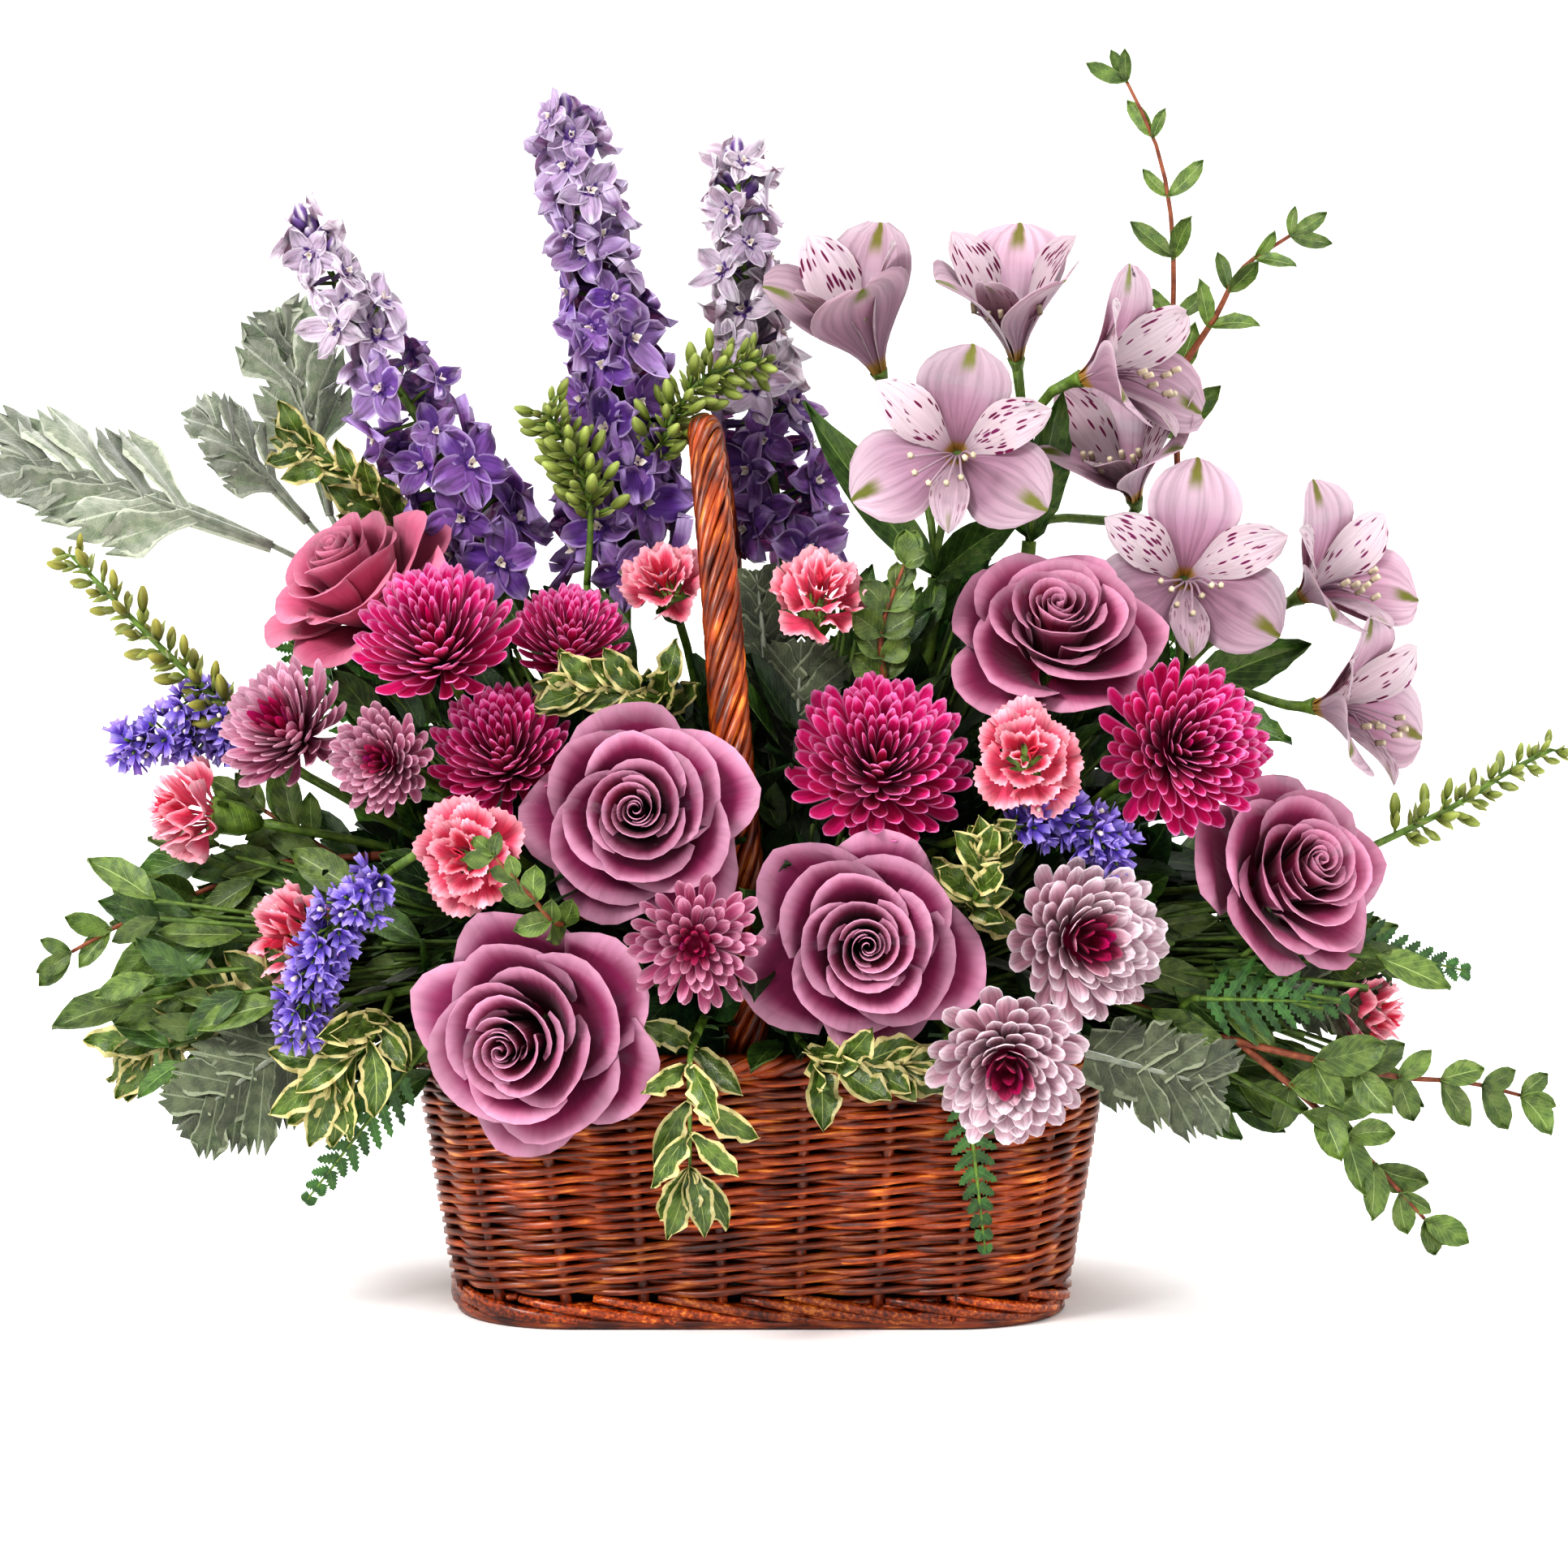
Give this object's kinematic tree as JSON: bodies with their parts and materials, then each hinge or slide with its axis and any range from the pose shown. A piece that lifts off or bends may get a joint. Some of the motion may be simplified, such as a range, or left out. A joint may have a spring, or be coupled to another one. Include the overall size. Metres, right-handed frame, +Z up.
{
  "type": "flower basket arrangement",
  "caption": "Rectangular woven willow basket with a hoop handle, holding wet foam and a spreading arrangement of roses, mums, carnations, alstroemeria, larkspur and foliage.",
  "frame": {"origin": "middle of the basket's flat underside, on the surface it stands on", "axes": "+X to the right of the pictured front, along the basket's long side; -Y towards the viewer; +Z up"},
  "size_m": [0.5585, 0.2494, 0.4453],
  "materials": {
    "willow": "stained and varnished willow, satin",
    "liner": "thin dark green plastic",
    "foam": "soaked green floral foam",
    "rose_lavender": "velvety lavender-mauve petals",
    "rose_pink": "velvety pink petals",
    "mum_magenta": "magenta petals, matte",
    "mum_lilac": "lilac petals with darker middles",
    "carnation_coral": "coral pink ruffled petals",
    "alstroemeria": "pale lilac-pink petals with dark dashes",
    "larkspur_violet": "deep violet petals",
    "larkspur_pale": "pale violet petals",
    "statice": "papery violet-blue cups",
    "green_buds": "small yellow-green buds",
    "eucalyptus": "matte green leaves on red-brown stems",
    "pittosporum": "green leaves with cream margins",
    "fern": "leathery dark green fronds",
    "dusty_miller": "felted silver-grey leaves"
  },
  "bodies": {
    "root": {"basket_base": "willow", "foot_border": "willow", "basket_wall": "willow", "rim_border": "willow", "handle": "willow", "liner": "liner", "rose_low_left": "rose_lavender", "rose_low_centre": "rose_lavender", "rose_centre": "rose_lavender", "rose_high_right": "rose_lavender", "rose_right": "rose_lavender", "rose_high_left": "rose_pink", "mum_magenta_left": "mum_magenta", "mum_magenta_behind_rose": "mum_magenta", "mum_magenta_centre": "mum_magenta", "mum_magenta_right": "mum_magenta", "mum_lilac_left": "mum_lilac", "mum_lilac_centre": "mum_lilac", "mum_lilac_right": "mum_lilac", "carnation_left": "carnation_coral", "carnation_by_rose": "carnation_coral", "carnation_behind_handle": "carnation_coral", "carnation_right_of_handle": "carnation_coral", "carnation_by_mum": "carnation_coral", "carnation_far_right": "carnation_coral", "alstroemeria_left": "alstroemeria", "alstroemeria_middle": "alstroemeria", "alstroemeria_right": "alstroemeria", "bud_spray_left": "green_buds", "bud_spray_middle": "green_buds", "bud_spike_left": "green_buds", "bud_spike_right": "green_buds", "larkspur_left": "larkspur_pale", "larkspur_tall": "larkspur_violet", "larkspur_middle": "larkspur_pale", "statice_left": "statice", "statice_low_left": "statice", "statice_right": "statice", "eucalyptus_tall": "eucalyptus", "eucalyptus_left": "eucalyptus", "eucalyptus_right": "eucalyptus", "eucalyptus_centre": "eucalyptus", "eucalyptus_front": "eucalyptus", "pittosporum_left": "pittosporum", "pittosporum_front": "pittosporum", "pittosporum_low_right": "pittosporum", "pittosporum_mid_right": "pittosporum", "pittosporum_centre": "pittosporum", "pittosporum_high_left": "pittosporum", "pittosporum_back": "pittosporum", "fern_low_left": "fern", "fern_right": "fern", "fern_front": "fern", "fern_back_left": "fern", "fern_back_right": "fern", "dusty_miller_high_left": "dusty_miller", "dusty_miller_low_left": "dusty_miller", "dusty_miller_right": "dusty_miller", "dusty_miller_centre": "dusty_miller", "foam": "foam"}
  },
  "joints": []
}
